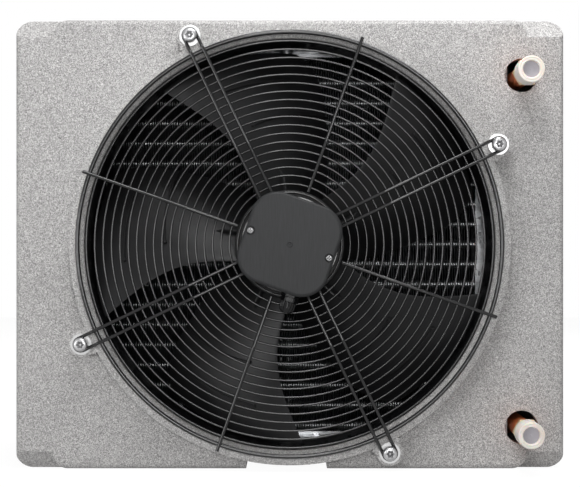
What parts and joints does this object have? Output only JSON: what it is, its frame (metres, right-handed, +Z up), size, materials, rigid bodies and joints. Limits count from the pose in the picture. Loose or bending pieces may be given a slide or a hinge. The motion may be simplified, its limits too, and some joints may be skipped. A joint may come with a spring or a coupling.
{
  "type": "water fan heater",
  "caption": "Box-shaped water fan heater with a foamed casing, an axial fan under a round wire guard, a finned coil, two water stubs and turnable outlet vanes.",
  "frame": {"origin": "middle of the whole object's footprint, on the surface it stands on", "axes": "+Z up, -Y towards the fan guard at the rear, +Y towards the outlet, +X to the right seen from behind"},
  "size_m": [0.62, 0.343, 0.508],
  "materials": {
    "foam": "moulded foam beads",
    "outlet_plastic": "satin",
    "vane_plastic": "satin",
    "nozzle_plastic": "semi gloss",
    "impeller_plastic": "fine texture",
    "cover_plastic": "satin",
    "box_plastic": "satin",
    "cap_plastic": "translucent",
    "bush_plastic": "satin",
    "guard_wire": "satin black coating",
    "zinc_steel": "zinc plated",
    "galvanised": "galvanised",
    "fin_aluminium": "mill finish",
    "cast_aluminium": "as cast",
    "copper": "dull copper",
    "brass": "machined",
    "winding": "enamelled wire",
    "lamination": "stacked sheet",
    "rotor_steel": "satin black",
    "bearing_steel": "ground",
    "rubber": "matt",
    "capacitor_shell": "satin"
  },
  "bodies": {
    "casing": {"rear_shell": "foam", "front_shell": "foam", "outlet_frame": "outlet_plastic", "frame_screws": "zinc_steel", "shell_clips": "galvanised", "clip_screws": "zinc_steel", "hanger_plates": "galvanised", "hanger_screws": "zinc_steel", "vane_bushes": "bush_plastic", "coil_fins": "fin_aluminium", "coil_tubes": "copper", "coil_bends": "copper", "coil_end_plate_left": "galvanised", "coil_end_plate_right": "galvanised", "coil_flange_bottom": "galvanised", "coil_flange_top": "galvanised", "coil_screws": "zinc_steel", "header_supply": "copper", "header_return": "copper", "header_feeders": "copper", "stub_lower": "copper", "stub_upper": "copper", "fitting_lower": "brass", "fitting_upper": "brass", "nozzle_ring": "nozzle_plastic", "fan_guard": "guard_wire", "guard_hub_plate": "guard_wire", "guard_bolts": "zinc_steel", "guard_washers": "zinc_steel", "guard_inserts": "brass", "motor_screws": "zinc_steel", "motor_flange": "cast_aluminium", "stator_core": "lamination", "stator_windings": "winding", "bearing_rear": "bearing_steel", "bearing_front": "bearing_steel", "terminal_box": "box_plastic", "terminal_cover": "cover_plastic", "terminal_gasket": "rubber", "terminal_screws": "zinc_steel", "neck_screws": "zinc_steel", "terminal_block": "bush_plastic", "run_capacitor": "capacitor_shell", "gland_body": "box_plastic", "gland_locknut": "box_plastic", "gland_nut": "box_plastic", "gland_seal": "rubber"},
    "fan": {"impeller": "impeller_plastic", "impeller_screws": "zinc_steel", "rotor_bell": "rotor_steel", "rotor_core": "lamination", "motor_shaft": "bearing_steel"},
    "vane_1": {"vane_1": "vane_plastic"},
    "vane_2": {"vane_2": "vane_plastic"},
    "vane_3": {"vane_3": "vane_plastic"},
    "vane_4": {"vane_4": "vane_plastic"},
    "vane_5": {"vane_5": "vane_plastic"},
    "vane_6": {"vane_6": "vane_plastic"},
    "cap_lower": {"cap_lower": "cap_plastic"},
    "cap_upper": {"cap_upper": "cap_plastic"}
  },
  "joints": [
    {"name": "fan_spin", "type": "hinge", "parent": "casing", "child": "fan", "pos_m": [0, -0.0735, 0.254], "axis": [0, 1, 0], "continuous": true},
    {"name": "vane_1_tilt", "type": "hinge", "parent": "casing", "child": "vane_1", "pos_m": [0, 0.1205, 0.079], "axis": [1, 0, 0], "range_deg": [-75, 75]},
    {"name": "vane_2_tilt", "type": "hinge", "parent": "casing", "child": "vane_2", "pos_m": [0, 0.1205, 0.149], "axis": [1, 0, 0], "range_deg": [-75, 75]},
    {"name": "vane_3_tilt", "type": "hinge", "parent": "casing", "child": "vane_3", "pos_m": [0, 0.1205, 0.219], "axis": [1, 0, 0], "range_deg": [-75, 75]},
    {"name": "vane_4_tilt", "type": "hinge", "parent": "casing", "child": "vane_4", "pos_m": [0, 0.1205, 0.289], "axis": [1, 0, 0], "range_deg": [-75, 75]},
    {"name": "vane_5_tilt", "type": "hinge", "parent": "casing", "child": "vane_5", "pos_m": [0, 0.1205, 0.359], "axis": [1, 0, 0], "range_deg": [-75, 75]},
    {"name": "vane_6_tilt", "type": "hinge", "parent": "casing", "child": "vane_6", "pos_m": [0, 0.1205, 0.429], "axis": [1, 0, 0], "range_deg": [-75, 75]},
    {"name": "cap_lower_pull", "type": "slide", "parent": "casing", "child": "cap_lower", "axis": [0, -1, 0], "range_m": [0, 0.04]},
    {"name": "cap_upper_pull", "type": "slide", "parent": "casing", "child": "cap_upper", "axis": [0, -1, 0], "range_m": [0, 0.04]}
  ]
}
